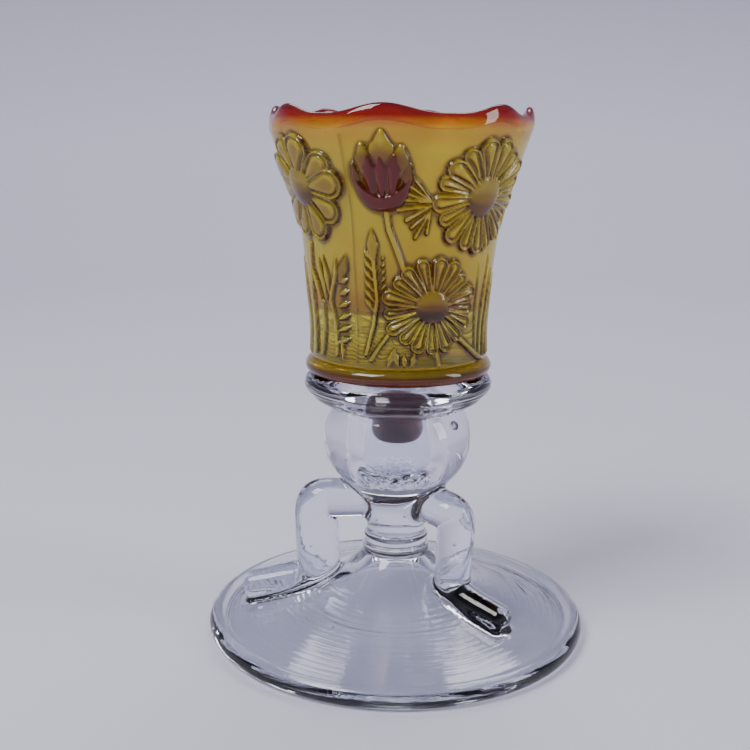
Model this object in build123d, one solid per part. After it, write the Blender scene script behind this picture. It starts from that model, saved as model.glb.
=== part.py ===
from build123d import *
import os
from math import pi, sqrt

# A clear glass candlestick with two bent side arms, and the peg votive cup that plugs
# into its socket. Millimetres. The vertical axis is Z, the object stands on z = 0, and
# the cup's front faces -Y.

# Foot: a spread disc with a rolled rim, rising like a trumpet, hollow underneath.
FOOT_RADIUS = 61.8
RIM_TUBE_RADIUS = 3.3
REST_RING_INNER_RADIUS = 56.5
FOOT_TOP_Z = 25.6
FOOT_NECK_RADIUS = 10.4
HOLLOW_TOP_Z = 23.8

# Stem: a ringed collar under a hub that spreads to carry the ball.
COLLAR_TOP_Z = 32.6
COLLAR_GROOVE_Z = 29.5
COLLAR_RIDGE_RADIUS = 10.9
HUB_RADIUS = 9.6
HUB_SEAT_RADIUS = 12.2
HUB_SEAT_Z = 45.6

# Ball, drawn down towards the hub, with the candle socket bored into it.
BALL_RADIUS = 23.7
BALL_CENTRE_Z = 65.3
BALL_TOP_RADIUS = 20.3
BALL_TOP_Z = 75.3
SOCKET_RADIUS = 11.0
SOCKET_FLOOR_Z = 55.6
SOCKET_FLOOR_ROUND = 4.0

# Drip flange that closes the top of the ball.
FLANGE_EDGE_RADIUS = 30.0
FLANGE_EDGE_TUBE = 2.8
FLANGE_TOP_Z = 86.6
MOUTH_RADIUS = 12.0

# Side arms, bent from round rod: (distance from the axis, height) of the centre line's
# start, elbow, ankle and tip. The right arm is thinner and stands closer to the stem.
LEFT_ARM_AZIMUTH = 179.0
LEFT_ROD_RADIUS = 6.5
LEFT_ARM_LINE = [(4.0, 43.0), (27.0, 43.0), (25.9, 16.6), (50.6, 11.6)]
RIGHT_ARM_AZIMUTH = -37.0
RIGHT_ROD_RADIUS = 5.9
RIGHT_ARM_LINE = [(4.0, 44.8), (24.2, 42.8), (23.0, 16.8), (43.4, 12.4)]
ARM_BEND_SHARE = 1.15
ARM_TIP_ROUND_SHARE = 0.45

# Votive cup: peg, beaded foot, and a flared body with eight scallops round its lip.
PEG_BOTTOM_Z = 63.8
PEG_BOTTOM_RADIUS = 9.5
PEG_TOP_RADIUS = 10.4
PEG_CORNER_ROUND = 2.8
BEAD_RADIUS = 29.6
BEAD_TUBE_RADIUS = 2.5
CUP_BASE_Z = 91.6
CUP_WALL = 3.0
CUP_FLOOR_Z = 107.5
CUP_OUTLINE = [
    (28.0, 91.6), (27.7, 98.5), (28.4, 110.5), (30.0, 125.0), (32.3, 139.0), (36.6, 151.0), (40.3, 163.0),
]
LIP_PEAK_Z = 168.7
LIP_VALLEY_Z = 166.0
LIP_TOP_RADIUS = 39.6
SCALLOPS = 8
SCALLOP_PEAK_AZIMUTH = -97.0

# Relief of open flowers pressed into the cup: (azimuth, height, radius) of each one on
# the front half. The back half repeats them half a turn round.
RELIEF_HEIGHT = 1.3
FLOWERS = [(-145.0, 144.5, 16.0), (-70.0, 110.6, 14.2), (-45.0, 143.5, 16.5)]
PETALS = 12
FLOWER_EYE_SHARE = 0.36


def at(r, z):
    """A point of an outline, at radius r and height z."""
    return Vector(r, 0, z)


def turned(*edges):
    """The solid that a closed outline sweeps around the vertical axis."""
    return revolve(make_face(Wire(edges)), Axis.Z, 360)


def make_foot():
    rim_r = FOOT_RADIUS - RIM_TUBE_RADIUS
    rim_top = at(rim_r, 2 * RIM_TUBE_RADIUS)
    groove = at(55.9, 4.8)
    under = Spline(at(0, HOLLOW_TOP_Z), at(6, 21.4), at(11, 17.4), at(17, 13.6), at(30, 7.7), at(45, 3.4),
                   at(REST_RING_INNER_RADIUS, 0), tangents=[(1, 0, 0), (1, 0, -0.35)])
    top = Spline(groove, at(49, 6.5), at(36, 10.1), at(21.8, 17.3), at(14.3, 21.9), at(FOOT_NECK_RADIUS, FOOT_TOP_Z),
                 tangents=[(-1, 0, 0), (-0.25, 0, 1)])
    return turned(
        under,
        Line(at(REST_RING_INNER_RADIUS, 0), at(rim_r, 0)),
        ThreePointArc(at(rim_r, 0), at(FOOT_RADIUS, RIM_TUBE_RADIUS), rim_top),
        Spline(rim_top, groove, tangents=[(-1, 0, 0), (-1, 0, 0)]),
        top,
        Line(at(FOOT_NECK_RADIUS, FOOT_TOP_Z), at(0, FOOT_TOP_Z)),
        Line(at(0, FOOT_TOP_Z), at(0, HOLLOW_TOP_Z)),
    )


def make_collar():
    lower = at(FOOT_NECK_RADIUS, FOOT_TOP_Z)
    groove = at(FOOT_NECK_RADIUS, COLLAR_GROOVE_Z)
    upper = at(HUB_RADIUS + 0.4, COLLAR_TOP_Z)
    return turned(
        Line(at(0, FOOT_TOP_Z), lower),
        ThreePointArc(lower, at(COLLAR_RIDGE_RADIUS, (FOOT_TOP_Z + COLLAR_GROOVE_Z) / 2), groove),
        ThreePointArc(groove, at(COLLAR_RIDGE_RADIUS - 0.4, COLLAR_GROOVE_Z + 1.5), upper),
        Line(upper, at(0, COLLAR_TOP_Z)),
        Line(at(0, COLLAR_TOP_Z), at(0, FOOT_TOP_Z)),
    )


def make_hub():
    seat = at(HUB_SEAT_RADIUS, HUB_SEAT_Z)
    return turned(
        Line(at(0, COLLAR_TOP_Z), at(HUB_RADIUS, COLLAR_TOP_Z)),
        Spline(at(HUB_RADIUS, COLLAR_TOP_Z), at(HUB_RADIUS, 38.0), at(10.5, 42.4), seat,
               tangents=[(0, 0, 1), (1, 0, 1)]),
        Line(seat, at(0, HUB_SEAT_Z)),
        Line(at(0, HUB_SEAT_Z), at(0, COLLAR_TOP_Z)),
    )


def make_ball():
    seat = at(HUB_SEAT_RADIUS, HUB_SEAT_Z)
    widest = at(BALL_RADIUS, BALL_CENTRE_Z)
    top = at(BALL_TOP_RADIUS, BALL_TOP_Z)
    round_z = SOCKET_FLOOR_Z + SOCKET_FLOOR_ROUND
    floor_r = SOCKET_RADIUS - SOCKET_FLOOR_ROUND
    corner = at(floor_r + SOCKET_FLOOR_ROUND * sqrt(0.5), round_z - SOCKET_FLOOR_ROUND * sqrt(0.5))
    return turned(
        Line(at(0, HUB_SEAT_Z), seat),
        Spline(seat, at(15.5, 48.9), at(19.1, 52.4), at(21.8, 56.0), at(23.4, 60.5), widest,
               tangents=[(1, 0, 1), (0, 0, 1)]),
        ThreePointArc(widest, at(22.8, 70.6), top),
        Line(top, at(SOCKET_RADIUS, BALL_TOP_Z)),
        Line(at(SOCKET_RADIUS, BALL_TOP_Z), at(SOCKET_RADIUS, round_z)),
        ThreePointArc(at(SOCKET_RADIUS, round_z), corner, at(floor_r, SOCKET_FLOOR_Z)),
        Line(at(floor_r, SOCKET_FLOOR_Z), at(0, SOCKET_FLOOR_Z)),
        Line(at(0, SOCKET_FLOOR_Z), at(0, HUB_SEAT_Z)),
    )


def make_flange():
    edge_r = FLANGE_EDGE_RADIUS - FLANGE_EDGE_TUBE
    below_edge = at(edge_r + 1.2, 80.3)
    above_edge = at(edge_r, FLANGE_TOP_Z - 0.7)
    return turned(
        Line(at(SOCKET_RADIUS, BALL_TOP_Z), at(BALL_TOP_RADIUS, BALL_TOP_Z)),
        Spline(at(BALL_TOP_RADIUS, BALL_TOP_Z), at(23.2, 76.3), at(26.2, 77.8), below_edge),
        ThreePointArc(below_edge, at(FLANGE_EDGE_RADIUS, 83.1), above_edge),
        Line(above_edge, at(24.5, FLANGE_TOP_Z)),
        Line(at(24.5, FLANGE_TOP_Z), at(MOUTH_RADIUS + 1.0, FLANGE_TOP_Z)),
        ThreePointArc(at(MOUTH_RADIUS + 1.0, FLANGE_TOP_Z), at(MOUTH_RADIUS + 0.3, 85.9), at(MOUTH_RADIUS, 85.2)),
        Line(at(MOUTH_RADIUS, 85.2), at(SOCKET_RADIUS, 80.0)),
        Line(at(SOCKET_RADIUS, 80.0), at(SOCKET_RADIUS, BALL_TOP_Z)),
    )


def make_arm(azimuth, rod_radius, points, rest_of_stand):
    """A bent rod: out from the hub, down, then out along the foot, cut where it meets them."""
    line = FilletPolyline(*[at(r, z) for r, z in points], radius=rod_radius * ARM_BEND_SHARE)
    section = Plane(origin=line @ 0, z_dir=line % 0) * Circle(rod_radius)
    rod = sweep(section, path=line)
    tip = rod.faces().sort_by(Axis.X)[-1]
    rod = fillet(tip.edges(), rod_radius * ARM_TIP_ROUND_SHARE)
    rod = Rot(0, 0, azimuth) * rod
    for solid in rest_of_stand:
        rod = rod - solid
    return max(rod.solids(), key=lambda piece: piece.volume)


def cup_outline(shift):
    """Outer line of the cup's wall from its base to below the lip, moved sideways by shift."""
    return Spline(*[at(r + shift, z) for r, z in CUP_OUTLINE], tangents=[(-0.1, 0, 1), (0.02, 0, 1)])


def make_cup():
    outer = cup_outline(0)
    lip_z = LIP_PEAK_Z
    lip_inner_r = LIP_TOP_RADIUS - 2.2
    body = turned(
        outer,
        ThreePointArc(outer @ 1, at(40.4, 165.9), at(LIP_TOP_RADIUS, lip_z)),
        Line(at(LIP_TOP_RADIUS, lip_z), at(lip_inner_r, lip_z)),
        Spline(at(lip_inner_r, lip_z), at(37.1, 162), at(33.5, 151), at(29.4, 139), at(27.0, 125), at(25.6, 115),
               at(25.1, 111), tangents=[(0.1, 0, -1), (-0.1, 0, -1)]),
        ThreePointArc(at(25.1, 111), at(24.0, 108.6), at(21.5, CUP_FLOOR_Z)),
        Line(at(21.5, CUP_FLOOR_Z), at(0, CUP_FLOOR_Z)),
        Line(at(0, CUP_FLOOR_Z), at(0, CUP_BASE_Z)),
        Line(at(0, CUP_BASE_Z), outer @ 0),
    )
    proud = cup_outline(RELIEF_HEIGHT)
    buried = cup_outline(-CUP_WALL / 2)
    skin = turned(proud, Line(proud @ 1, buried @ 1), buried, Line(buried @ 0, proud @ 0))
    for azimuth, height, radius in FLOWERS:
        body = body + make_flower(azimuth, height, radius, skin)
        body = body + make_flower(azimuth + 180, height, radius, skin)
    return body - make_scallop_cutters()


def make_flower(azimuth, height, radius, skin):
    """A flower head that follows the wall, RELIEF_HEIGHT proud of it."""
    eye = radius * FLOWER_EYE_SHARE
    petal_length = radius - eye * 0.6
    petal = Pos((radius + eye * 0.6) / 2, 0) * Ellipse(petal_length / 2, radius * 0.17)
    head = Circle(eye) + [Rot(0, 0, 360 * i / PETALS) * petal for i in range(PETALS)]
    plane = Plane(origin=(SOCKET_RADIUS, 0, height), x_dir=(0, 1, 0), z_dir=(1, 0, 0))
    block = extrude(plane * head, LIP_TOP_RADIUS)
    return (Rot(0, 0, azimuth) * block) & skin


def make_scallop_cutters():
    """Rods laid radially across the lip, one over each dip between two peaks."""
    pitch = 360 / SCALLOPS
    dip = LIP_PEAK_Z - LIP_VALLEY_Z
    half_chord = LIP_TOP_RADIUS * pi / SCALLOPS * 0.94
    rod_r = (half_chord**2 + dip**2) / (2 * dip)
    rod = Pos(35, 0, LIP_VALLEY_Z + rod_r) * (Rot(0, 90, 0) * Cylinder(rod_r, 20))
    return [Rot(0, 0, SCALLOP_PEAK_AZIMUTH + pitch * (i + 0.5)) * rod for i in range(SCALLOPS)]


def make_cup_foot():
    edge_r = BEAD_RADIUS - BEAD_TUBE_RADIUS
    mid_z = (FLANGE_TOP_Z + CUP_BASE_Z) / 2
    return turned(
        Line(at(0, FLANGE_TOP_Z), at(edge_r, FLANGE_TOP_Z)),
        ThreePointArc(at(edge_r, FLANGE_TOP_Z), at(BEAD_RADIUS, mid_z), at(edge_r, CUP_BASE_Z)),
        Line(at(edge_r, CUP_BASE_Z), at(0, CUP_BASE_Z)),
        Line(at(0, CUP_BASE_Z), at(0, FLANGE_TOP_Z)),
    )


def make_peg():
    corner_r = PEG_BOTTOM_RADIUS - PEG_CORNER_ROUND
    round_z = PEG_BOTTOM_Z + PEG_CORNER_ROUND
    corner = at(corner_r + PEG_CORNER_ROUND * sqrt(0.5), round_z - PEG_CORNER_ROUND * sqrt(0.5))
    return turned(
        Line(at(0, PEG_BOTTOM_Z), at(corner_r, PEG_BOTTOM_Z)),
        ThreePointArc(at(corner_r, PEG_BOTTOM_Z), corner, at(PEG_BOTTOM_RADIUS, round_z)),
        Line(at(PEG_BOTTOM_RADIUS, round_z), at(PEG_TOP_RADIUS, FLANGE_TOP_Z)),
        Line(at(PEG_TOP_RADIUS, FLANGE_TOP_Z), at(0, FLANGE_TOP_Z)),
        Line(at(0, FLANGE_TOP_Z), at(0, PEG_BOTTOM_Z)),
    )


foot = make_foot()
collar = make_collar()
hub = make_hub()
ball = make_ball()
stand = [foot, collar, hub, ball]

parts = {
    "spread_foot": foot,
    "stem_collar": collar,
    "stem_hub": hub,
    "socket_ball": ball,
    "drip_flange": make_flange(),
    "left_arm": make_arm(LEFT_ARM_AZIMUTH, LEFT_ROD_RADIUS, LEFT_ARM_LINE, stand),
    "right_arm": make_arm(RIGHT_ARM_AZIMUTH, RIGHT_ROD_RADIUS, RIGHT_ARM_LINE, stand),
    "votive_cup": make_cup(),
    "cup_foot": make_cup_foot(),
    "votive_peg": make_peg(),
}

os.makedirs("parts", exist_ok=True)
for name, solid in parts.items():
    export_step(solid, f"parts/{name}.step")
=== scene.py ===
"""A clear glass candlestick with two bent arms, and its amber pressed-glass votive cup.

Lengths in the shape code are millimetres, and become metres where a mesh is made.
"""

import math

import bpy
import numpy as np
from mathutils import Matrix, Vector


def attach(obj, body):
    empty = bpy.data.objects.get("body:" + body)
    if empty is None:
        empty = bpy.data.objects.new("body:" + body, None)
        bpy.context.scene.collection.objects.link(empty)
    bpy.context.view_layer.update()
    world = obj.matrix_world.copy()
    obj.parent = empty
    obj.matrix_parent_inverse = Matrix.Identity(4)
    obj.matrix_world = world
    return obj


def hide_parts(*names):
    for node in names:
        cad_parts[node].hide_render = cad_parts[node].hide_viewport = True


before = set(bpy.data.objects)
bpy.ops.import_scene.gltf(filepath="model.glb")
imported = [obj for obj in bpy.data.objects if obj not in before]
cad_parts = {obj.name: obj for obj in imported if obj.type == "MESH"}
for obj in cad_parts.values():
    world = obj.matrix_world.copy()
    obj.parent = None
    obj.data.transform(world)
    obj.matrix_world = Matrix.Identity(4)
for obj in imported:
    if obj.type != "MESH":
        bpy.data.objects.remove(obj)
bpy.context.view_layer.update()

MM = 0.001
OUTLINE_STEP = 0.03

# ---------------------------------------------------------------- outlines


def evenly(points, step=OUTLINE_STEP):
    """The same line, with a point every step along it."""
    line = np.asarray(points, float)
    length = np.concatenate([[0], np.cumsum(np.linalg.norm(np.diff(line, axis=0), axis=1))])
    at = np.linspace(0, length[-1], int(length[-1] / step) + 1)
    return np.column_stack([np.interp(at, length, line[:, 0]), np.interp(at, length, line[:, 1])])


def spline(*knots):
    """Points along the natural cubic spline through the knots."""
    p = np.array(knots, float)
    t = np.concatenate([[0], np.cumsum(np.linalg.norm(np.diff(p, axis=0), axis=1))])
    h = np.diff(t)
    system, right = np.eye(len(p)), np.zeros((len(p), 2))
    for i in range(1, len(p) - 1):
        system[i, i - 1 : i + 2] = h[i - 1], 2 * (h[i - 1] + h[i]), h[i]
        right[i] = 6 * ((p[i + 1] - p[i]) / h[i] - (p[i] - p[i - 1]) / h[i - 1])
    bend = np.linalg.solve(system, right)
    u = np.arange(0, t[-1], OUTLINE_STEP)
    i = np.clip(np.searchsorted(t, u, "right") - 1, 0, len(h) - 1)
    a, b, w = (t[i + 1] - u)[:, None], (u - t[i])[:, None], h[i][:, None]
    ends = (p[i] / w - bend[i] * w / 6) * a + (p[i + 1] / w - bend[i + 1] * w / 6) * b
    return (bend[i] * a**3 + bend[i + 1] * b**3) / (6 * w) + ends


def arc(start, via, end):
    """Points along the circle through three points, from the first to the last."""
    a, b, c = (complex(*p) for p in (start, via, end))
    w = (c - a) / (b - a)
    centre = (b - a) * (w - abs(w) ** 2) / (2j * w.imag) + a
    first, middle, last = (math.atan2((p - centre).imag, (p - centre).real) for p in (a, b, c))
    turn = (last - first) % math.tau
    if (middle - first) % math.tau > turn:
        turn -= math.tau
    radius = abs(a - centre)
    angles = first + turn * np.linspace(0, 1, max(int(abs(turn) * radius / OUTLINE_STEP), 3))
    return np.column_stack([centre.real + radius * np.cos(angles), centre.imag + radius * np.sin(angles)])


def softened(line, width, mirror_ends):
    """The line with its corners rounded by a Gaussian of this width along its length."""
    reach = int(3 * width / OUTLINE_STEP)
    sign = np.array([-1.0, 1.0]) if mirror_ends else None
    if mirror_ends:  # the outline of a turned shape goes on across the axis
        before, after = line[reach:0:-1] * sign, line[-2 : -reach - 2 : -1] * sign
    else:
        before, after = 2 * line[0] - line[reach:0:-1], 2 * line[-1] - line[-2 : -reach - 2 : -1]
    long = np.vstack([before, line, after])
    kernel = np.exp(-0.5 * (np.arange(-reach, reach + 1) * OUTLINE_STEP / width) ** 2)
    kernel /= kernel.sum()
    return np.column_stack([np.convolve(long[:, k], kernel, "valid") for k in (0, 1)])


class Line:
    """A line in a vertical plane (distance out, height), with its nearest point to any place."""

    CELL = 0.5
    MARGIN = 8.0
    NEAR = 9.0
    COARSE = 8

    def __init__(self, points):
        self.points = evenly(points)
        tangent = np.gradient(self.points, axis=0)
        self.tangent = tangent / np.linalg.norm(tangent, axis=1)[:, None]
        self.normal = np.column_stack([-self.tangent[:, 1], self.tangent[:, 0]])
        self.low = self.points.min(0) - self.MARGIN
        shape = ((self.points.max(0) + self.MARGIN - self.low) / self.CELL).astype(int) + 1
        coarse = self.points[:: self.COARSE]
        x, z = (self.low[k] + (np.arange(shape[k]) + 0.5) * self.CELL for k in (0, 1))
        self.table = np.empty(shape, int)
        for i, place in enumerate(x):
            gap = (coarse[:, 0] - place) ** 2 + (coarse[:, 1] - z[:, None]) ** 2
            self.table[i] = gap.argmin(1) * self.COARSE

    def nearest(self, x, z):
        """Index of the nearest point, and how far the place is across and along the line there."""
        i = np.clip(((x - self.low[0]) / self.CELL).astype(int), 0, self.table.shape[0] - 1)
        k = np.clip(((z - self.low[1]) / self.CELL).astype(int), 0, self.table.shape[1] - 1)
        index = self.table[i, k]
        near = self.gap2(index, x, z) < self.NEAR**2
        px, pz, best = x[near], z[near], index[near]
        for jump in (16, 8, 4, 2, 1):
            choices = np.clip(np.stack([best, best - jump, best + jump]), 0, len(self.points) - 1)
            pick = self.gap2(choices, px, pz).argmin(0)
            best = choices[pick, np.arange(len(pick))]
        index[near] = best
        dx, dz = x - self.points[index, 0], z - self.points[index, 1]
        across = dx * self.normal[index, 0] + dz * self.normal[index, 1]
        along = dx * self.tangent[index, 0] + dz * self.tangent[index, 1]
        return index, across, along

    def gap2(self, index, x, z):
        return (x - self.points[index, 0]) ** 2 + (z - self.points[index, 1]) ** 2


def blended(a, b, reach):
    """The smaller of two distances, with a smooth fillet where they meet."""
    near = np.maximum(reach - np.abs(a - b), 0) / reach
    return np.minimum(a, b) - near**2 * reach / 4


# ------------------------------------------------- shape of the clear glass stand

# Outline of everything that is turned, from the middle of the socket's floor, up and
# over the flange, down outside and in again under the foot.
SOCKET_RADIUS, SOCKET_FLOOR = 11.0, 55.6
STAND_OUTLINE = [
    [(0, SOCKET_FLOOR), (7, SOCKET_FLOOR)],
    arc((7, SOCKET_FLOOR), (9.83, 56.77), (SOCKET_RADIUS, 59.6)),
    [(SOCKET_RADIUS, 59.6), (SOCKET_RADIUS, 80), (12, 85.2)],
    arc((12, 85.2), (12.3, 85.9), (13, 86.6)),
    [(13, 86.6), (24.5, 86.6)],
    arc((27.2, 85.9), (30, 83.1), (28.4, 80.3)),
    spline((28.4, 80.3), (26.2, 77.8), (23.2, 76.3), (20.3, 75.3)),
    arc((20.3, 75.3), (22.8, 70.6), (23.7, 65.3)),
    spline((23.7, 65.3), (23.4, 60.5), (21.8, 56), (19.1, 52.4), (15.5, 48.9), (12.2, 45.6), (10.4, 42.4),
           (9.6, 38), (9.6, 32.6)),
    arc((10, 32.6), (10.5, 31), (10.2, 29.5)),
    arc((10.2, 29.5), (10.9, 27.5), (10.4, 25.6)),
    spline((10.4, 25.6), (14.3, 21.9), (21.8, 17.3), (36, 10.1), (49, 6.5), (54.6, 4.9), (56.2, 4.8),
           (57.3, 6.1), (58.6, 6.7)),
    arc((58.6, 6.6), (61.8, 3.3), (58.5, 0)),
    [(58.5, 0), (56.5, 0)],
    spline((56.5, 0), (52, 1.4), (45, 3.4), (30, 7.7), (17, 13.6), (11, 17.4), (6, 21.4), (0, 23.8)),
]
STAND_CORNER = 0.35

# Arms: azimuth, then (distance out, height, rod radius) along the centre line, from the
# start in the stem over elbow and ankle to the toe on the foot.
ARMS = {
    "left_arm": (179.0, [
        (7.5, 43, 5.9), (27, 43, 6.7), (26.1, 30, 7.4), (25.6, 16.5, 6.8), (32, 14.9, 5.3), (50.6, 11, 4.8),
    ]),
    "right_arm": (-37.0, [
        (7.5, 44.8, 6.1), (24.2, 43, 6.2), (23.5, 30, 5.9), (23, 16.6, 5.6), (29, 14.8, 5.0),
        (43.6, 11.6, 4.7),
    ]),
}
ARM_BEND = 3.0
ARM_FILLET = 3.0
TOE_ROUND = 3.0

# How far the tool rings on the foot and the ripples of the socket's floor stand out.
TOOL_RING_HEIGHT = 0.05
CHILL_HEIGHT = 0.38


class Arm:
    """A bent glass rod in a vertical plane through the axis, as a signed distance."""

    FAR = 12.0

    def __init__(self, azimuth, knots):
        angle = math.radians(azimuth)
        self.out = math.cos(angle), math.sin(angle)
        knots = np.array(knots)
        self.line = Line(softened(evenly(knots[:, :2]), ARM_BEND, mirror_ends=False))
        runs = np.concatenate([[0], np.cumsum(np.linalg.norm(np.diff(knots[:, :2], axis=0), axis=1))])
        share = np.linspace(0, 1, len(self.line.points))
        radius = np.interp(share, runs / runs[-1], knots[:, 2])
        self.radius = softened(np.column_stack([share, radius]), ARM_BEND, mirror_ends=False)[:, 1]

    def distance(self, x, y, z):
        u, v = x * self.out[0] + y * self.out[1], y * self.out[0] - x * self.out[1]
        distance = np.full(u.shape, self.FAR)
        close = (np.abs(v) < self.FAR) & (u > 0) & (u < 62) & (z < 58)
        u, v, z = u[close], v[close], z[close]
        index, across, along = self.line.nearest(u, z)
        side = np.hypot(across, v) - self.radius[index]
        toe = along - (len(self.line.points) - 1 - index) * OUTLINE_STEP
        distance[close] = -blended(-side, -toe, TOE_ROUND)
        return distance


stand_line = Line(softened(evenly(np.vstack(STAND_OUTLINE)), STAND_CORNER, mirror_ends=True))
arms = {name: Arm(*row) for name, row in ARMS.items()}


def turned_distance(x, y, z):
    """Signed distance to the turned glass, with faint tool rings and a chilled, uneven socket floor."""
    r = np.hypot(x, y)
    _, across, along = stand_line.nearest(r, z)
    size = np.hypot(across, along)
    distance = np.where(size < 2, across, np.sign(across) * size)
    above_foot_middle = z > 3.2 + (55 - r) * 0.16
    on_foot_top = np.clip((r - 22) / 6, 0, 1) * np.clip((54 - r) / 3, 0, 1) * above_foot_middle
    rings = TOOL_RING_HEIGHT * np.sin(r * 3.1 + 0.6 * np.sin(r * 0.83))
    rings = rings * (0.6 + 0.4 * np.sin(np.arctan2(y, x) + 3.6))
    in_socket = np.clip((10.5 - r) / 3, 0, 1) * np.clip((58 - z) / 2, 0, 1) * (z > 50)
    chilled = CHILL_HEIGHT * np.sin(1.7 * x + 1.9 * np.sin(0.9 * y) + 0.7)
    chilled = chilled * np.sin(1.5 * y - 0.6 * x + 1.3 * np.sin(1.1 * x))
    return distance - rings * on_foot_top - chilled * in_socket


def stand_distance(x, y, z):
    """Signed distance to the whole stand: the turned glass with the arms melted into it."""
    whole = turned_distance(x, y, z)
    for arm in arms.values():
        whole = blended(whole, arm.distance(x, y, z), ARM_FILLET)
    return whole


# ------------------------------------------------------------------ mesh tools


def surface_net(inside, low, step):
    """A vertex in each grid cell that a surface crosses, and the quads that join them."""
    cells = tuple(n - 1 for n in inside.shape)
    count = np.zeros(cells, np.int8)
    for i in (0, 1):
        for j in (0, 1):
            for k in (0, 1):
                count += inside[i : i + cells[0], j : j + cells[1], k : k + cells[2]]
    active = (count > 0) & (count < 8)
    number = np.full(cells, -1)
    number[active] = np.arange(active.sum())
    vertices = low + (np.argwhere(active) + 0.5) * step
    quads = []
    for axis in range(3):
        side, name = np.moveaxis(inside, axis, 0)[:, 1:-1, 1:-1], np.moveaxis(number, axis, 0)
        i, j, k = np.nonzero(side[:-1] != side[1:])
        ring = np.column_stack([name[i, j, k], name[i, j + 1, k], name[i, j + 1, k + 1], name[i, j, k + 1]])
        flip = side[1:][i, j, k] != (axis == 1)
        ring[flip] = ring[flip][:, ::-1]
        quads.append(ring)
    return vertices, np.vstack(quads)


def gradient(distance, points, reach=0.04):
    """Unit directions in which a distance grows at some points."""
    columns = []
    for axis in range(3):
        shift = np.zeros(3)
        shift[axis] = reach
        ahead, behind = (points + shift).T, (points - shift).T
        columns.append(distance(*ahead) - distance(*behind))
    out = np.column_stack(columns)
    return out / np.maximum(np.linalg.norm(out, axis=1), 1e-9)[:, None]


def turned_faces(rows, columns, start_axis, end_axis):
    """Quads of a turned grid, and the two fans of triangles that close it at the axis."""
    i, j = (a.ravel() for a in np.meshgrid(np.arange(rows - 1), np.arange(columns), indexing="ij"))
    after = (j + 1) % columns
    here, below = i * columns, (i + 1) * columns
    quads = np.column_stack([here + j, below + j, below + after, here + after])
    j = np.arange(columns)
    after, last = (j + 1) % columns, (rows - 1) * columns
    start = np.column_stack([np.full(columns, start_axis), j, after])
    end = np.column_stack([last + j, np.full(columns, end_axis), last + after])
    return quads, start, end


def make_object(name, points, faces, normals=None):
    """A smooth mesh object from points in mm and faces of one size or several."""
    mesh = bpy.data.meshes.new(name)
    groups = faces if isinstance(faces, list) else [faces]
    loops = np.concatenate([g.ravel() for g in groups])
    totals = np.concatenate([np.full(len(g), g.shape[1]) for g in groups])
    mesh.vertices.add(len(points))
    mesh.vertices.foreach_set("co", (np.asarray(points) * MM).astype(np.float32).ravel())
    mesh.loops.add(len(loops))
    mesh.loops.foreach_set("vertex_index", loops.astype(np.int32))
    mesh.polygons.add(len(totals))
    mesh.polygons.foreach_set("loop_start", np.concatenate([[0], np.cumsum(totals)[:-1]]).astype(np.int32))
    mesh.polygons.foreach_set("use_smooth", np.ones(len(totals), bool))
    mesh.update(calc_edges=True)
    if normals is not None:
        mesh.normals_split_custom_set_from_vertices(normals)
    piece = bpy.data.objects.new(name, mesh)
    bpy.context.scene.collection.objects.link(piece)
    return piece


# ------------------------------------------------------------- build the stand

NET_STEP = 0.62
NET_LOW, NET_HIGH = np.array([-63.5, -63.5, -1.5]), np.array([63.5, 63.5, 88.0])
REFINING_PASSES, LONGEST_STEP = 5, 0.4


def make_stand():
    """Points, quads and normals of the whole stand's surface."""
    shape = np.ceil((NET_HIGH - NET_LOW) / NET_STEP).astype(int)
    x, y, z = (NET_LOW[k] + np.arange(shape[k]) * NET_STEP for k in range(3))
    inside = np.zeros(tuple(shape), bool)
    for k, height in enumerate(z):
        flat = [a.ravel() for a in np.broadcast_arrays(x[:, None], y[None, :], height)]
        inside[:, :, k] = (stand_distance(*flat) < 0).reshape(inside.shape[:2])
    points, quads = surface_net(inside, NET_LOW, NET_STEP)
    for _ in range(REFINING_PASSES):
        normals = gradient(stand_distance, points)
        step = np.clip(stand_distance(*points.T), -LONGEST_STEP, LONGEST_STEP)
        points = points - normals * step[:, None]
    return points, quads, gradient(stand_distance, points)


# Air trapped in the glass: (x, y, z) of each bubble, its radius, and its height as a share of its width.
BUBBLES = [
    ((16.2, -8.6, 69.8), 1.5, 0.9),  # the large one near the top of the ball
    ((-14.2, -12.0, 60.4), 0.40, 1.0),
    ((5.2, -17.6, 51.8), 0.32, 1.0),
    ((2.6, -4.2, 39.4), 0.55, 0.7),
    ((-3.8, 2.0, 36.0), 0.35, 1.0),
    ((-27.6, -2.2, 27.5), 0.42, 1.4),
    ((18.8, -14.6, 33.6), 0.38, 1.3),
    ((-19.0, -27.0, 8.6), 0.45, 0.8),
    ((31.0, -30.0, 6.3), 0.38, 0.8),
    ((-41.0, 10.0, 6.4), 0.42, 0.8),
    ((12.0, 38.0, 7.8), 0.5, 0.7),
    ((9.0, 15.5, 63.0), 0.45, 1.0),
]


BUBBLE_ROWS, BUBBLE_COLUMNS = 11, 24


def make_bubble(centre, radius, stretch):
    """Points, faces and normals of a bubble's wall, which faces into the bubble."""
    polar = np.linspace(0, math.pi, BUBBLE_ROWS + 2)[1:-1, None]
    azimuth = np.linspace(0, math.tau, BUBBLE_COLUMNS, endpoint=False)[None, :]
    width = np.sin(polar)
    ring = [width * np.cos(azimuth), width * np.sin(azimuth), np.cos(polar) * np.ones_like(azimuth)]
    unit = np.vstack([np.stack(ring, axis=2).reshape(-1, 3), [[0, 0, 1], [0, 0, -1]]])
    quads, start, end = turned_faces(BUBBLE_ROWS, BUBBLE_COLUMNS, len(unit) - 2, len(unit) - 1)
    faces = [quads[:, ::-1], start[:, ::-1], end[:, ::-1]]
    return np.array(centre) + unit * radius * np.array([1, 1, stretch]), faces, -unit


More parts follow.
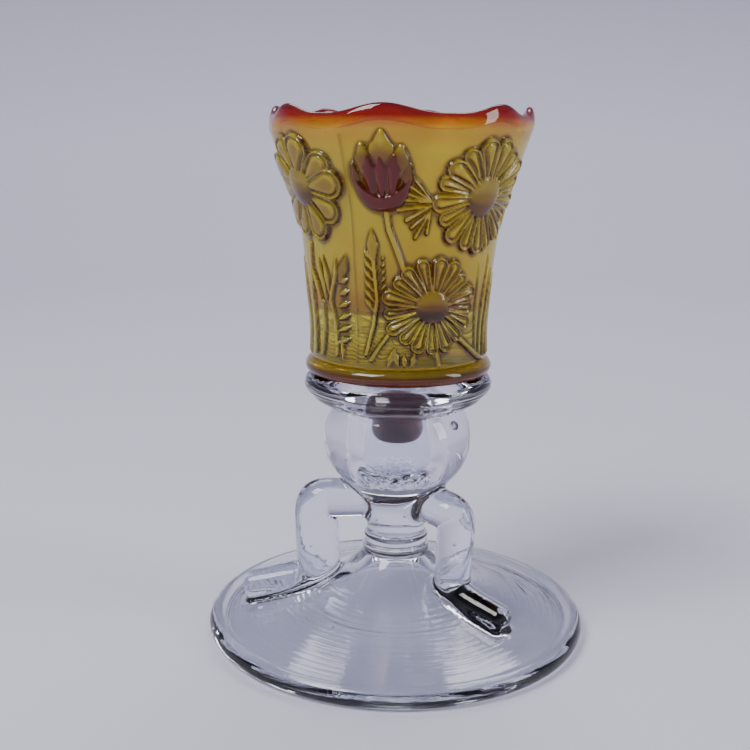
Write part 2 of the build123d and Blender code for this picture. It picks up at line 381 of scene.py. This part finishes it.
def with_bubbles(points, quads, normals):
    """The stand's mesh with the walls of its bubbles added."""
    triangles = []
    for bubble in BUBBLES:
        more, (squares, *fans), inward = make_bubble(*bubble)
        quads = np.vstack([quads, squares + len(points)])
        triangles += [fan + len(points) for fan in fans]
        points, normals = np.vstack([points, more]), np.vstack([normals, inward])
    return points, [quads, np.vstack(triangles)], normals


stand = make_object("candlestick_glass", *with_bubbles(*make_stand()))
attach(stand, "candlestick")
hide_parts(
    "spread_foot", "stem_collar", "stem_hub", "socket_ball", "drip_flange", "left_arm", "right_arm"
)


# ----------------------------------------------------------- relief on the cup

# Every motif is placed by azimuth in degrees and height in mm, on the front half of the
# cup. The mould has two equal halves, so the back half repeats them half a turn round.
SEAM_AZIMUTH = -115.5
CUP_OUTLINE = spline(
    (40.3, 163.0), (36.6, 151.0), (32.3, 139.0), (30.0, 125.0), (28.4, 110.5), (27.7, 98.5), (28.0, 92.3)
)


def cup_radius(z):
    return np.interp(z, CUP_OUTLINE[::-1, 1], CUP_OUTLINE[::-1, 0])


class Relief:
    """Heights of the pressed pattern over a grid of azimuths and heights on the wall."""

    def __init__(self, azimuth, z):
        self.azimuth, self.z = azimuth, z
        self.height = np.zeros(azimuth.shape)
        self.ruby = np.zeros(azimuth.shape)
        self.thick = np.zeros(azimuth.shape)

    def local(self, azimuth, z, reach):
        """Grid places within reach of a point, and their (sideways, up) distance from it."""
        scale = math.radians(1) * cup_radius(z)
        across = ((self.azimuth - azimuth + 90) % 180 - 90) * scale
        close = (np.abs(across) < reach) & (np.abs(self.z - z) < reach)
        return close, across[close], self.z[close] - z

    def raise_to(self, close, height, ruby=0.0):
        here = self.height[close]
        self.ruby[close] = np.where(height > here, ruby * np.clip(height, 0, 1), self.ruby[close])
        self.height[close] = np.maximum(here, height)

    def stroke(self, start, end, start_radius, end_radius, height, ruby=0.0):
        """A tapered, round-backed stroke between two (azimuth, z) points."""
        scale = math.radians(1) * cup_radius((start[1] + end[1]) / 2)
        run = np.array([(end[0] - start[0]) * scale, end[1] - start[1]])
        length = float(np.hypot(*run))
        reach = length + start_radius + end_radius
        close, x, y = self.local(start[0], start[1], reach)
        depth = -capsule(x, y, run / length, length, start_radius, end_radius)
        self.raise_to(close, height * rounded(depth / max(start_radius, end_radius)), ruby)

    def leaf(self, base, tip, width, height, ruby=0.0, belly=0.45, tip_radius=0.15):
        """A leaf or petal, widest a share belly of its way from base to tip."""
        middle = [base[k] + (tip[k] - base[k]) * belly for k in (0, 1)]
        scale = math.radians(1) * cup_radius(tip[1])
        length = math.hypot((tip[0] - base[0]) * scale, tip[1] - base[1])
        end = [tip[k] - (tip[k] - base[k]) * tip_radius / length for k in (0, 1)]
        self.stroke(base, middle, width * 0.22, width / 2, height, ruby)
        self.stroke(middle, end, width / 2, tip_radius, height, ruby)

    def stem(self, points, width, height):
        for start, end in zip(points, points[1:]):
            self.stroke(start, end, width / 2, width / 2, height)


def capsule(x, y, direction, length, first, last):
    """Signed distance to two circles at the ends of a run and the taper between them."""
    along = x * direction[0] + y * direction[1]
    aside = np.abs(x * direction[1] - y * direction[0])
    lean = (first - last) / length
    if abs(lean) > 0.95:
        return np.minimum(np.hypot(along, aside) - first, np.hypot(along - length, aside) - last)
    flank = math.sqrt(1 - lean * lean)
    k = along * flank - aside * lean
    side = aside * flank + along * lean - first
    beyond = np.where(k > length * flank, np.hypot(along - length, aside) - last, side)
    return np.where(k < 0, np.hypot(along, aside) - first, beyond)


def rounded(share):
    """Height of a half-round ridge at a share of the way in from its edge."""
    share = np.clip(share, 0, 1)
    return np.sqrt(share * (2 - share))


def smooth_step(value):
    value = np.clip(value, 0, 1)
    return value * value * (3 - 2 * value)


def add_daisy(relief, azimuth, z, reach, eye, petals, first_angle, seed):
    """An open flower: petals with a raised rim, a groove and a padded middle, round a domed eye."""
    random = np.random.default_rng(seed)
    close, x, y = relief.local(azimuth, z, reach + 4)
    tip_radius = reach * math.sin(math.pi / petals) * 0.90
    for order in (1, 0):  # the petals behind come first
        for i in range(order, petals, 2):
            angle = math.radians(first_angle + 360 * (i + random.uniform(-0.10, 0.10)) / petals)
            radius = tip_radius * random.uniform(0.94, 1.08) * (0.86 if order else 1.0)
            length = reach * random.uniform(0.96, 1.03) * (0.96 if order else 1.0) - radius
            direction = (math.cos(angle), math.sin(angle))
            depth = -capsule(x, y, direction, length, 0.7, radius)
            rim = np.exp(-(((depth - 0.55) / 0.33) ** 2))
            pad = smooth_step((depth - 1.05) / 1.2) * (0.95 + 0.06 * depth)
            body = rounded(depth / 0.6) * (0.75 - 0.30 * order)
            petal = np.where(depth > 0, body + np.maximum(rim * rounded(depth / 0.5), pad) * 0.8, 0)
            relief.raise_to(close, petal)
    gap = np.hypot(x, y)
    relief.raise_to(close, np.where(gap < eye, 0.7 + 1.6 * rounded((eye - gap) / eye), 0), 0.3)
    relief.thick[close] = np.maximum(relief.thick[close], smooth_step((eye - gap) / 0.8))


def add_tulip(relief, azimuth, z, size):
    """A closed flower on its bowl, seen from the side. z is where the bowl is widest."""
    def at(side, up):
        return (azimuth + side * size, z + up * size)

    relief.stroke(at(0, -2), at(0, 3), 6.4 * size, 5.4 * size, 1.3, 0.9)
    for side, up, width in ((-8.8, 9.9, 5.0), (8.5, 9.4, 5.4), (0, 13.1, 6.8)):
        relief.leaf(at(side * 0.6, -4), at(side, up), width * size, 1.6, 0.75, 0.66, 0.9 * size)
    for side, up in ((-13.0, 4.5), (12.1, 4.0)):
        relief.leaf(at(side * 0.85, -5), at(side, up), 3.2 * size, 1.6, 0.9, 0.55, 0.6 * size)
    for side, up in ((-5.7, 7.0), (-0.4, 6.9), (5.6, 7.2)):
        relief.leaf(at(side * 0.8, -7), at(side, up), 4.4 * size, 2.2, 1.0, 0.70, 1.1 * size)
    close, x, y = relief.local(azimuth, z, 14 * size)
    x, y = x / size, y / size
    rim = -4.0 + 5.2 * (np.abs(x) / 7.8) ** 2
    inside = 1 - (np.abs(x / 8.2) ** 2.5 + np.abs(y / 9.7) ** 2.5) ** 0.4
    lip = smooth_step((rim - y) / 0.9)
    roll = 0.35 * np.exp(-(((rim - y - 0.9) / 0.6) ** 2))
    bowl = np.where((inside > 0) & (y < rim + 1.0), rounded(inside * 3.0) * lip * (2.1 + roll), 0)
    relief.raise_to(close, bowl, 1.0)
    relief.ruby[close] *= 0.15 + 0.85 * smooth_step((10.5 - y) / 5)


def add_fronds(relief, root, tips, width, height):
    for tip in tips:
        relief.stroke(root, tip, width * 0.26, width / 2, height)


def add_fern(relief, foot, top, leaflets, length, rise, width, height=0.95):
    """Leaflets out from a stem and up by rise mm, growing longer downwards. length is in degrees."""
    for i in range(leaflets):
        share = i / max(leaflets - 1, 1)
        base = [top[k] + (foot[k] - top[k]) * share for k in (0, 1)]
        grown = 0.75 + 0.45 * share
        relief.leaf(base, (base[0] + length * grown, base[1] + rise * grown), width, height, belly=0.5)


# Blades as (foot, tip), each an (azimuth, z).
GRASS = [
    ((-29.5, 94), (-26.8, 126)),
    ((-33.5, 94), (-37.3, 123.4)),
    ((-22.5, 94), (-20.2, 121)),
    ((-18, 94), (-16.5, 116)),
    ((-96, 93), (-93, 98.5)),
    ((-90, 93), (-92.5, 99)),
    ((-86, 93), (-86.5, 97)),
    ((-82, 93), (-79.5, 98)),
]
TALL_BLADES = [
    ((-141.9, 109), (-153.6, 124.4)),
    ((-137.6, 112), (-143.2, 124.4)),
    ((-134.8, 114), (-138.7, 125.6)),
    ((-129.6, 117), (-128.1, 124.9)),
]


def press_pattern(relief):
    """Everything that the mould presses into the wall."""
    # grass and stalks behind the flowers
    relief.stem([(-95.7, 102.8), (-101, 99.2), (-106.5, 94.9)], 1.5, 0.8)
    relief.stem([(-49, 100.4), (-36, 95.4), (-23, 91.9)], 2.2, 1.1)
    for foot, tip in GRASS:
        relief.leaf(foot, tip, 1.9, 0.75)
    # tulip on its long stem, and the fan of leaves beside it
    relief.stem([(-96.9, 139.5), (-95.6, 133.6), (-91.7, 128.2), (-87.0, 121.5)], 1.9, 1.0)
    add_tulip(relief, -98.0, 148.4, 1.0)
    upper_tips = [(-82.6, 147.6), (-84.6, 145.9), (-86.6, 144.1), (-88.6, 142.3)]
    add_fronds(relief, (-74.2, 141.6), upper_tips, 1.15, 1.1)
    add_fronds(relief, (-74.5, 140.6), [(-91.0, 139.4), (-86.8, 136.4)], 1.5, 1.2)
    add_fronds(relief, (-74.5, 139.0), [(-84.2, 134.3), (-82.2, 131.4), (-76.0, 132.6)], 1.25, 1.1)
    # fern with a bud at its top
    relief.stem([(-104.4, 125.5), (-102.4, 113), (-104.9, 105.3), (-109.8, 96.5)], 1.5, 0.9)
    relief.leaf((-104.2, 124.8), (-105.2, 134.2), 3.5, 1.2, 0.3)
    add_fern(relief, (-104.2, 109.6), (-105.6, 125.0), 6, -5.4, 3.6, 1.7)
    add_fern(relief, (-100.6, 116.0), (-100.0, 124.8), 5, 3.0, 1.6, 1.0)
    # tall blades and a leafy stalk, left of the seam
    for foot, tip in TALL_BLADES:
        relief.leaf(foot, tip, 2.2, 1.0)
    relief.stem([(-141.9, 110.4), (-141.6, 103), (-143.5, 95)], 1.8, 0.9)
    relief.stem([(-129.1, 119.8), (-134.4, 111.8), (-131.7, 105.4), (-130.3, 95.5)], 1.8, 0.9)
    relief.leaf((-125.6, 117.8), (-120.2, 126.2), 3.6, 1.3, 0.5)
    add_fern(relief, (-129.5, 99.0), (-126.2, 117.5), 6, 8.8, 1.8, 2.2)
    relief.leaf((-125.4, 94), (-127.4, 101), 1.8, 0.8)
    # small flowerless stalks that the open flowers rest on, and tall grass at the sides
    relief.stem([(-66, 97), (-64, 92.5)], 1.6, 0.7)
    relief.stem([(-150, 128), (-154, 112), (-152, 95)], 1.9, 0.9)
    random = np.random.default_rng(11)
    for azimuth in np.arange(-15, 19, 4.3):
        tip = (azimuth + random.uniform(-2.5, 2.5), random.uniform(112, 129))
        relief.leaf((azimuth, 93.5), tip, random.uniform(1.7, 2.4), 0.5)
    relief.leaf((-8, 134), (-3, 150), 3.4, 0.6)
    relief.leaf((0, 132), (3, 146), 3.2, 0.6)
    # flowers
    add_daisy(relief, -145.2, 145.3, 16.6, 6.0, 10, 2, 3)
    add_daisy(relief, -45.2, 142.9, 17.6, 6.2, 17, 101, 5)
    add_daisy(relief, -70.3, 111.0, 14.9, 5.2, 17, 82, 4)
    # mould seam, and the ripples that chilled glass shows near the base
    close, x, y = relief.local(SEAM_AZIMUTH, 128, 40)
    seam = np.exp(-((x / 0.40) ** 2)) * (y < 34) * (relief.height[close] < 0.5)
    relief.height[close] += 0.30 * seam
    relief.ruby[close] = np.maximum(relief.ruby[close], 0.55 * seam)
    low = smooth_step((107 - relief.z) / 5) * np.clip(np.cos(np.radians(relief.azimuth + 113) * 2), 0, 1)
    ripples = np.sin(relief.z * 5.2 + 1.4 * np.sin(np.radians(relief.azimuth) * 31) + relief.azimuth * 0.35)
    relief.height += 0.07 * low * ripples * (relief.height < 0.3)
    turn = np.radians(relief.azimuth)
    swell = np.sin(turn * 6 + relief.z * 0.11) + np.sin(turn * 10 - relief.z * 0.17)
    relief.height += 0.05 * swell


# ------------------------------------------------------------- build the votive

CUP_FLOOR = 107.5
WALL_TOP, WALL_BOTTOM = 163.0, 91.8
LIP_PEAK, LIP_VALLEY = 168.7, 166.0
LIP_WAVE_START = 150
SCALLOPS, SCALLOP_AZIMUTH = 8, -97.0
VOTIVE_OUTLINE = [
    [(0, CUP_FLOOR), (21.5, CUP_FLOOR)],
    arc((21.5, CUP_FLOOR), (24.0, 108.6), (25.1, 111.0)),
    spline((25.1, 111.0), (25.6, 115.0), (27.0, 125), (29.4, 139), (33.5, 151), (37.1, 162), (37.6, 167.6)),
    arc((37.6, 167.6), (38.7, LIP_PEAK), (39.8, 167.9)),
    arc((39.8, 167.9), (40.4, 165.9), (40.3, 163.0)),
    CUP_OUTLINE,
    arc((27.1, 91.6), (29.6, 89.1), (27.1, 86.6)),
    [(27.1, 86.6), (10.4, 86.6), (9.5, 66.6)],
    arc((9.5, 66.6), (8.68, 64.62), (6.7, 63.8)),
    [(6.7, 63.8), (0, 63.8)],
]
VOTIVE_CORNER = 0.28
CUP_COLUMNS, PLAIN_COLUMNS = 720, 256
WALL_ROW, PLAIN_ROW = 0.36, 1.1


def turned_rows(line, spacing):
    """Points of a fine line, picked with a spacing in mm that may change along it."""
    length = np.arange(len(line)) * OUTLINE_STEP
    steps = np.cumsum(OUTLINE_STEP / spacing)
    wanted = np.linspace(0, steps[-1], int(steps[-1]) + 1)
    at = np.interp(wanted, steps, length)
    return np.column_stack([np.interp(at, length, line[:, k]) for k in (0, 1)])


def face_normals_to_points(points, faces):
    """Unit normals of points, from the faces given."""
    total = np.zeros_like(points)
    for group in faces:
        corners = points[group]
        if group.shape[1] == 4:
            area = np.cross(corners[:, 2] - corners[:, 0], corners[:, 3] - corners[:, 1])
        else:
            area = np.cross(corners[:, 1] - corners[:, 0], corners[:, 2] - corners[:, 0])
        for k in range(group.shape[1]):
            for axis in range(3):
                total[:, axis] += np.bincount(group[:, k], area[:, axis], len(points))
    return total / np.maximum(np.linalg.norm(total, axis=1), 1e-12)[:, None]


def make_turned(name, rows, columns, shape=None):
    """A closed turned piece. A row that ends off the axis ends in a flat joint there."""
    first_open, last_open = rows[0, 0] > 0.5, rows[-1, 0] > 0.5
    if not first_open:
        rows = rows[1:]
    if not last_open:
        rows = rows[:-1]
    azimuth = np.linspace(-180, 180, columns, endpoint=False)
    angle = np.radians(azimuth)
    r, z = (np.repeat(rows[:, k : k + 1], columns, axis=1) for k in (0, 1))
    extra = {}
    if shape:
        r, z, extra = shape(rows, azimuth, r, z)
    grid = np.stack([r * np.cos(angle), r * np.sin(angle), z], axis=2).reshape(-1, 3)
    points = np.vstack([grid, [[0, 0, z[0].mean()], [0, 0, z[-1].mean()]]])
    quads, start, end = turned_faces(len(rows), columns, len(grid), len(grid) + 1)
    glass = [quads] + ([] if first_open else [start]) + ([] if last_open else [end])
    joints = ([start] if first_open else []) + ([end] if last_open else [])
    normals = face_normals_to_points(points, glass)
    normals[np.abs(normals).sum(1) == 0] = (0, 0, 1)
    piece = make_object(name, points, glass + joints, normals)
    count = sum(len(g) for g in glass)
    slots = np.zeros(count + sum(len(g) for g in joints), np.int32)
    slots[count:] = 1
    piece.data.polygons.foreach_set("material_index", slots)
    for key, values in extra.items():
        attribute = piece.data.attributes.new(key, "FLOAT", "POINT")
        attribute.data.foreach_set("value", np.concatenate([values.ravel(), [0, 0]]).astype(np.float32))
    return piece


def blurred(grid, passes):
    """The grid smoothed along both ways. It wraps round the cup."""
    for _ in range(passes):
        grid = (grid + np.roll(grid, 1, axis=1) + np.roll(grid, -1, axis=1)) / 3
        padded = np.vstack([grid[:1], grid, grid[-1:]])
        grid = (padded[:-2] + padded[1:-1] + padded[2:]) / 3
    return grid


def lip_lobes(azimuth):
    """How near each azimuth is to a scallop's peak, from 0 to 1. The scallops are a little uneven."""
    turn = np.radians(azimuth)
    uneven = 2.2 * np.cos(turn) - 2.5 * np.sin(turn) + 1.3 * np.cos(2 * turn) - 5.6 * np.sin(2 * turn)
    return 0.5 + 0.5 * np.cos(np.radians(azimuth - uneven - SCALLOP_AZIMUTH) * SCALLOPS)


def glass_marks(relief, height, fade, across):
    """Painted shade and painted highlight on the pressed relief, and where the glass is ruby or thick, from
    the relief's shape.
    """
    sideways, upward = np.gradient(height, axis=1) / across, -np.gradient(height, axis=0) / WALL_ROW
    proud = height - blurred(height, 12)
    # Painted shade: grooves, lower-facing and side slopes, and the lower half of each daisy eye take the
    # dark colour.
    groove = smooth_step((-proud - 0.03) / 0.22)
    painted_shade = smooth_step((np.hypot(sideways * 0.45, np.maximum(upward, 0)) - 0.22) / 0.6)
    eye_lower_painted_shade = relief.thick * smooth_step((np.maximum(upward, 0) + 0.02) / 0.12)
    dark = np.clip(0.85 * groove * (painted_shade < 0.5) + painted_shade + 0.8 * eye_lower_painted_shade, 0, 1)
    # Painted highlight: proud ridges, upward-facing slopes and the upper half of each daisy eye take the
    # bright colour.
    ridge = smooth_step((proud - 0.02) / 0.25) * smooth_step((0.25 - upward) / 0.4)
    eye_upper_painted_highlight = relief.thick * smooth_step((-upward - 0.02) / 0.12)
    painted_highlight = np.clip(ridge + smooth_step((-upward - 0.3) / 0.6) + 0.8 * eye_upper_painted_highlight, 0, 1) * (1 - relief.ruby)
    thick = np.clip(smooth_step((height - 0.5) / 1.1) + 0.5 * relief.thick, 0, 1)
    return {"painted_shade": dark, "painted_highlight": painted_highlight, "ruby": relief.ruby * fade, "thick": thick}


def shape_cup(rows, azimuth, r, z):
    """Press the pattern into the outer wall and wave the lip."""
    grid_azimuth = np.repeat(azimuth[None, :], len(rows), axis=0)
    row = np.arange(len(rows))[:, None]
    lip_row = rows[:, 1].argmax()
    outer = (row > lip_row) & (z < WALL_TOP) & (z > WALL_BOTTOM)
    inside = (row < lip_row) & (z < WALL_TOP + 1)
    relief = Relief(grid_azimuth, z)
    press_pattern(relief)
    tangent = np.gradient(rows, axis=0)
    tangent /= np.linalg.norm(tangent, axis=1)[:, None]
    fade = smooth_step((WALL_TOP - z) / 1.5) * smooth_step((z - WALL_BOTTOM - 0.4) / 1.5)
    height = np.where(outer, relief.height * fade, 0)
    lobes = lip_lobes(grid_azimuth)
    up = smooth_step((z - LIP_WAVE_START) / (LIP_PEAK - LIP_WAVE_START))
    r_new = r - tangent[:, 1:] * height + up * 0.45 * (lobes - 0.6)
    z_new = z + tangent[:, :1] * height - up * (LIP_PEAK - LIP_VALLEY) * (1 - lobes**1.6)
    # the marks carry painted shade and painted highlight for the relief, beside ruby and thick
    marks = glass_marks(relief, height, fade, np.radians(azimuth[1] - azimuth[0]) * r)
    marks = {key: np.where(outer, value, 0) for key, value in marks.items()}
    return r_new, z_new, {**marks, "inner": inside * np.ones_like(z)}


def make_votive():
    """The cup, its beaded foot and its peg, cut out of one closed outline."""
    line = softened(evenly(np.vstack(VOTIVE_OUTLINE)), VOTIVE_CORNER, mirror_ends=True)
    line = evenly(line)
    down = np.arange(len(line)) > line[:, 1].argmax()
    bead_cut = np.nonzero(down & (line[:, 1] < 91.75))[0][0]
    peg_cut = np.nonzero(down & (line[:, 0] < 10.6) & (line[:, 1] < 90))[0][0]
    spacing = np.where(down | (line[:, 1] > 160), WALL_ROW, PLAIN_ROW)
    parts = slice(0, bead_cut + 1), slice(bead_cut, peg_cut + 1), slice(peg_cut, None)
    cup_rows, bead_rows, peg_rows = (turned_rows(line[part], spacing[part]) for part in parts)
    cup = make_turned("votive_cup_glass", cup_rows, CUP_COLUMNS, shape_cup)
    bead = make_turned("cup_foot_glass", bead_rows, PLAIN_COLUMNS)
    peg = make_turned("votive_peg_glass", peg_rows, PLAIN_COLUMNS)
    return cup, bead, peg


cup, bead, peg = make_votive()
for piece, node in ((cup, "votive_cup"), (bead, "cup_foot"), (peg, "votive_peg")):
    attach(piece, "votive")
    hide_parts(node)


# -------------------------------------------------------------------- materials


def new_material(name):
    material = bpy.data.materials.new(name)
    material.use_nodes = True
    nodes, links = material.node_tree.nodes, material.node_tree.links
    return material, nodes, links, nodes["Principled BSDF"]


def noise(nodes, links, place, scale, detail):
    texture = nodes.new("ShaderNodeTexNoise")
    texture.inputs["Scale"].default_value = scale
    texture.inputs["Detail"].default_value = detail
    links.new(place, texture.inputs["Vector"])
    return texture.outputs["Fac"]


def remapped(nodes, links, value, from_range, to_range):
    span = nodes.new("ShaderNodeMapRange")
    span.inputs["From Min"].default_value, span.inputs["From Max"].default_value = from_range
    span.inputs["To Min"].default_value, span.inputs["To Max"].default_value = to_range
    links.new(value, span.inputs["Value"])
    return span.outputs["Result"]


def bumped(nodes, links, height, distance, before=None):
    bump = nodes.new("ShaderNodeBump")
    bump.inputs["Distance"].default_value = distance
    links.new(height, bump.inputs["Height"])
    if before:
        links.new(before, bump.inputs["Normal"])
    return bump.outputs["Normal"]


def clear_glass():
    """Glass with a drifting lavender tint, a slow waviness, tool rings and a little haze."""
    material, nodes, links, shader = new_material("clear_glass")
    place = nodes.new("ShaderNodeTexCoord").outputs["Object"]
    tint = nodes.new("ShaderNodeMix")
    tint.data_type = "RGBA"
    tint.inputs["A"].default_value = (0.86, 0.88, 0.99, 1)
    tint.inputs["B"].default_value = (0.93, 0.95, 1.0, 1)
    links.new(noise(nodes, links, place, 30, 1), tint.inputs["Factor"])
    links.new(tint.outputs["Result"], shader.inputs["Base Color"])
    haze = remapped(nodes, links, noise(nodes, links, place, 90, 5), (0.52, 0.72), (0.0, 0.05))
    links.new(haze, shader.inputs["Roughness"])
    waviness = bumped(nodes, links, noise(nodes, links, place, 130, 2), 0.00006)
    rings = nodes.new("ShaderNodeTexWave")
    rings.wave_type, rings.rings_direction = "RINGS", "Z"
    rings.inputs["Scale"].default_value, rings.inputs["Distortion"].default_value = 240, 1.5
    links.new(place, rings.inputs["Vector"])
    split = nodes.new("ShaderNodeSeparateXYZ")
    links.new(place, split.inputs[0])
    on_foot = nodes.new("ShaderNodeMath")
    on_foot.operation = "MULTIPLY"
    links.new(remapped(nodes, links, split.outputs["Z"], (0.016, 0.022), (1, 0)), on_foot.inputs[0])
    links.new(rings.outputs["Fac"], on_foot.inputs[1])
    links.new(bumped(nodes, links, on_foot.outputs["Value"], 0.000008, waviness), shader.inputs["Normal"])
    shader.inputs["IOR"].default_value = 1.5
    shader.inputs["Transmission Weight"].default_value = 1.0
    return material


def joint_material():
    """Where two pieces of the same glass are fused, light goes straight on."""
    material = bpy.data.materials.new("fused_joint")
    material.use_nodes = True
    nodes = material.node_tree.nodes
    nodes.clear()
    output, clear = nodes.new("ShaderNodeOutputMaterial"), nodes.new("ShaderNodeBsdfTransparent")
    material.node_tree.links.new(clear.outputs["BSDF"], output.inputs["Surface"])
    return material


# Colour of the shaded glass by height in mm, from the dark peg to the ruby lip.
SHADES = [
    (63, (0.05, 0.001, 0.004)),
    (84, (0.05, 0.001, 0.004)),
    (87.6, (0.12, 0.008, 0.006)),
    (89.3, (0.28, 0.07, 0.008)),
    (90.4, (0.62, 0.42, 0.02)),
    (96, (0.62, 0.58, 0.015)),
    (106, (0.74, 0.64, 0.018)),
    (111, (0.70, 0.42, 0.015)),
    (118, (0.84, 0.68, 0.025)),
    (134, (0.88, 0.76, 0.03)),
    (156, (0.88, 0.74, 0.025)),
    (161.6, (0.86, 0.60, 0.02)),
    (163.6, (0.78, 0.28, 0.012)),
    (165.3, (0.46, 0.02, 0.012)),
    (169, (0.27, 0.003, 0.03)),
]


def mixed(nodes, links, base, colour, mark, blend="MULTIPLY"):
    """The base colour, mixed with another where a mark that the mesh carries says so."""
    mix = nodes.new("ShaderNodeMix")
    mix.data_type = "RGBA"
    mix.blend_type = blend
    mix.inputs["B"].default_value = (*colour, 1)
    attribute = nodes.new("ShaderNodeAttribute")
    attribute.attribute_name = mark
    links.new(attribute.outputs["Fac"], mix.inputs["Factor"])
    links.new(base, mix.inputs["A"])
    return mix.outputs["Result"]


def shaded_glass():
    """Amber glass that runs to ruby at the lip, deeper in colour where it is pressed thick, with painted
    highlights on the relief's ridges and tops and painted shade in its grooves and under it.
    """
    material, nodes, links, shader = new_material("shaded_glass")
    place = nodes.new("ShaderNodeTexCoord")
    split = nodes.new("ShaderNodeSeparateXYZ")
    links.new(place.outputs["Object"], split.inputs[0])
    low, high = SHADES[0][0] * MM, SHADES[-1][0] * MM
    span = nodes.new("ShaderNodeMapRange")
    span.inputs["From Min"].default_value, span.inputs["From Max"].default_value = low, high
    links.new(split.outputs["Z"], span.inputs["Value"])
    ramp = nodes.new("ShaderNodeValToRGB")
    ramp.color_ramp.interpolation = "EASE"
    while len(ramp.color_ramp.elements) < len(SHADES):
        ramp.color_ramp.elements.new(0.5)
    for element, (height, colour) in zip(ramp.color_ramp.elements, SHADES):
        element.position = (height * MM - low) / (high - low)
        element.color = (*colour, 1)
    links.new(span.outputs["Result"], ramp.inputs["Fac"])
    cloud = nodes.new("ShaderNodeMix")
    cloud.data_type, cloud.blend_type = "RGBA", "MULTIPLY"
    cloud.inputs["B"].default_value = (0.90, 0.80, 0.50, 1)
    drift = noise(nodes, links, place.outputs["Object"], 55, 3)
    links.new(remapped(nodes, links, drift, (0.4, 0.7), (0, 1)), cloud.inputs["Factor"])
    links.new(ramp.outputs["Color"], cloud.inputs["A"])
    colour = mixed(nodes, links, cloud.outputs["Result"], (0.46, 0.36, 0.20), "thick")
    # painted highlight: bright yellow on ridges, upward-facing slopes and the upper half of each eye
    colour = mixed(nodes, links, colour, (0.92, 0.80, 0.08), "painted_highlight", "MIX")
    colour = mixed(nodes, links, colour, (0.09, 0.001, 0.007), "ruby", "MIX")
    # painted shade: near-black in grooves, on lower-facing slopes and on the lower half of each eye
    colour = mixed(nodes, links, colour, (0.045, 0.004, 0.004), "painted_shade", "MIX")
    links.new(colour, shader.inputs["Base Color"])
    inner = nodes.new("ShaderNodeAttribute")
    inner.attribute_name = "inner"
    rough = nodes.new("ShaderNodeMapRange")
    rough.inputs["To Min"].default_value, rough.inputs["To Max"].default_value = 0.03, 0.38
    links.new(inner.outputs["Fac"], rough.inputs["Value"])
    links.new(rough.outputs["Result"], shader.inputs["Roughness"])
    shader.inputs["IOR"].default_value = 1.5
    shader.inputs["Transmission Weight"].default_value = 0.78
    return material


glass, amber, joint = clear_glass(), shaded_glass(), joint_material()
stand.data.materials.append(glass)
for piece in (cup, bead, peg):
    piece.data.materials.append(amber)
    piece.data.materials.append(joint)

# ------------------------------------------------------------ camera and studio

# The eye is 340 mm in front of the stem and 159 mm above the floor, tilted down.
EYE = Vector((0.0, -0.340, 0.1586))
TILT_DOWN = math.radians(12.28)
TURN_LEFT = math.radians(1.24)
ROLL = math.radians(0.45)
LENS_MM = 51.9
SENSOR_MM = 36.0


def add_camera():
    data = bpy.data.cameras.new("camera")
    data.lens = LENS_MM
    data.sensor_width = SENSOR_MM
    data.clip_start = 0.01
    camera = bpy.data.objects.new("camera", data)
    turn = Matrix.Rotation(TURN_LEFT, 4, "Z")
    tilt = Matrix.Rotation(math.pi / 2 - TILT_DOWN, 4, "X")
    roll = Matrix.Rotation(ROLL, 4, "Z")
    camera.matrix_world = Matrix.Translation(EYE) @ turn @ tilt @ roll
    bpy.context.scene.collection.objects.link(camera)
    bpy.context.scene.camera = camera


def add_area(name, place, target, size, power, colour=(1, 1, 1)):
    data = bpy.data.lights.new(name, "AREA")
    data.shape = "RECTANGLE"
    data.size, data.size_y = size
    data.energy = power
    data.color = colour
    lamp = bpy.data.objects.new(name, data)
    lamp.location = place
    lamp.rotation_euler = (Vector(target) - Vector(place)).to_track_quat("-Z", "Y").to_euler()
    bpy.context.scene.collection.objects.link(lamp)


# A pale floor that curves up into a low wall all round, so that no horizon shows.
BOWL_FLAT, BOWL_CURVE, BOWL_HEIGHT = 0.9, 0.7, 0.8


def add_bowl():
    quarter = np.linspace(0, math.pi / 2, 24)
    profile = [(0.0, 0.0), (BOWL_FLAT * 0.5, 0.0)]
    profile += [(BOWL_FLAT + BOWL_CURVE * math.sin(a), BOWL_CURVE * (1 - math.cos(a))) for a in quarter]
    profile += [(BOWL_FLAT + BOWL_CURVE, BOWL_HEIGHT)]
    columns = 96
    angle = np.arange(columns) * math.tau / columns
    rows = np.array(profile[1:])
    out, up = rows[:, :1], np.repeat(rows[:, 1:], columns, 1)
    ring = np.stack([out * np.cos(angle), out * np.sin(angle), up], axis=2)
    points = np.vstack([ring.reshape(-1, 3), [[0, 0, 0], [0, 0, 0]]])
    quads, start, _ = turned_faces(len(rows), columns, len(points) - 2, len(points) - 1)
    bowl = make_object("studio_floor", points[:-1] / MM, [quads[:, ::-1], start[:, ::-1]])
    material, nodes, links, shader = new_material("pale_floor")
    split = nodes.new("ShaderNodeSeparateXYZ")
    links.new(nodes.new("ShaderNodeTexCoord").outputs["Object"], split.inputs[0])
    fall = nodes.new("ShaderNodeMix")
    fall.data_type = "RGBA"
    fall.inputs["A"].default_value = (0.66, 0.65, 0.76, 1)
    fall.inputs["B"].default_value = (0.20, 0.20, 0.32, 1)
    links.new(remapped(nodes, links, split.outputs["Z"], (0.15, 0.8), (0, 1)), fall.inputs["Factor"])
    links.new(fall.outputs["Result"], shader.inputs["Base Color"])
    shader.inputs["Roughness"].default_value = 0.7
    bowl.data.materials.append(material)


add_camera()
add_bowl()
add_area("key", (-0.55, -0.45, 0.95), (0, 0, 0.1), (0.5, 0.5), 11)
add_area("side", (0.95, -0.25, 0.45), (0, 0, 0.1), (0.25, 0.7), 4)
add_area("back", (0.1, 0.9, 1.2), (0, 0.6, 0.0), (1.2, 0.5), 9)

world = bpy.data.worlds.new("world")
bpy.context.scene.world = world
world.use_nodes = True
world.node_tree.nodes["Background"].inputs["Color"].default_value = (0.24, 0.24, 0.30, 1)
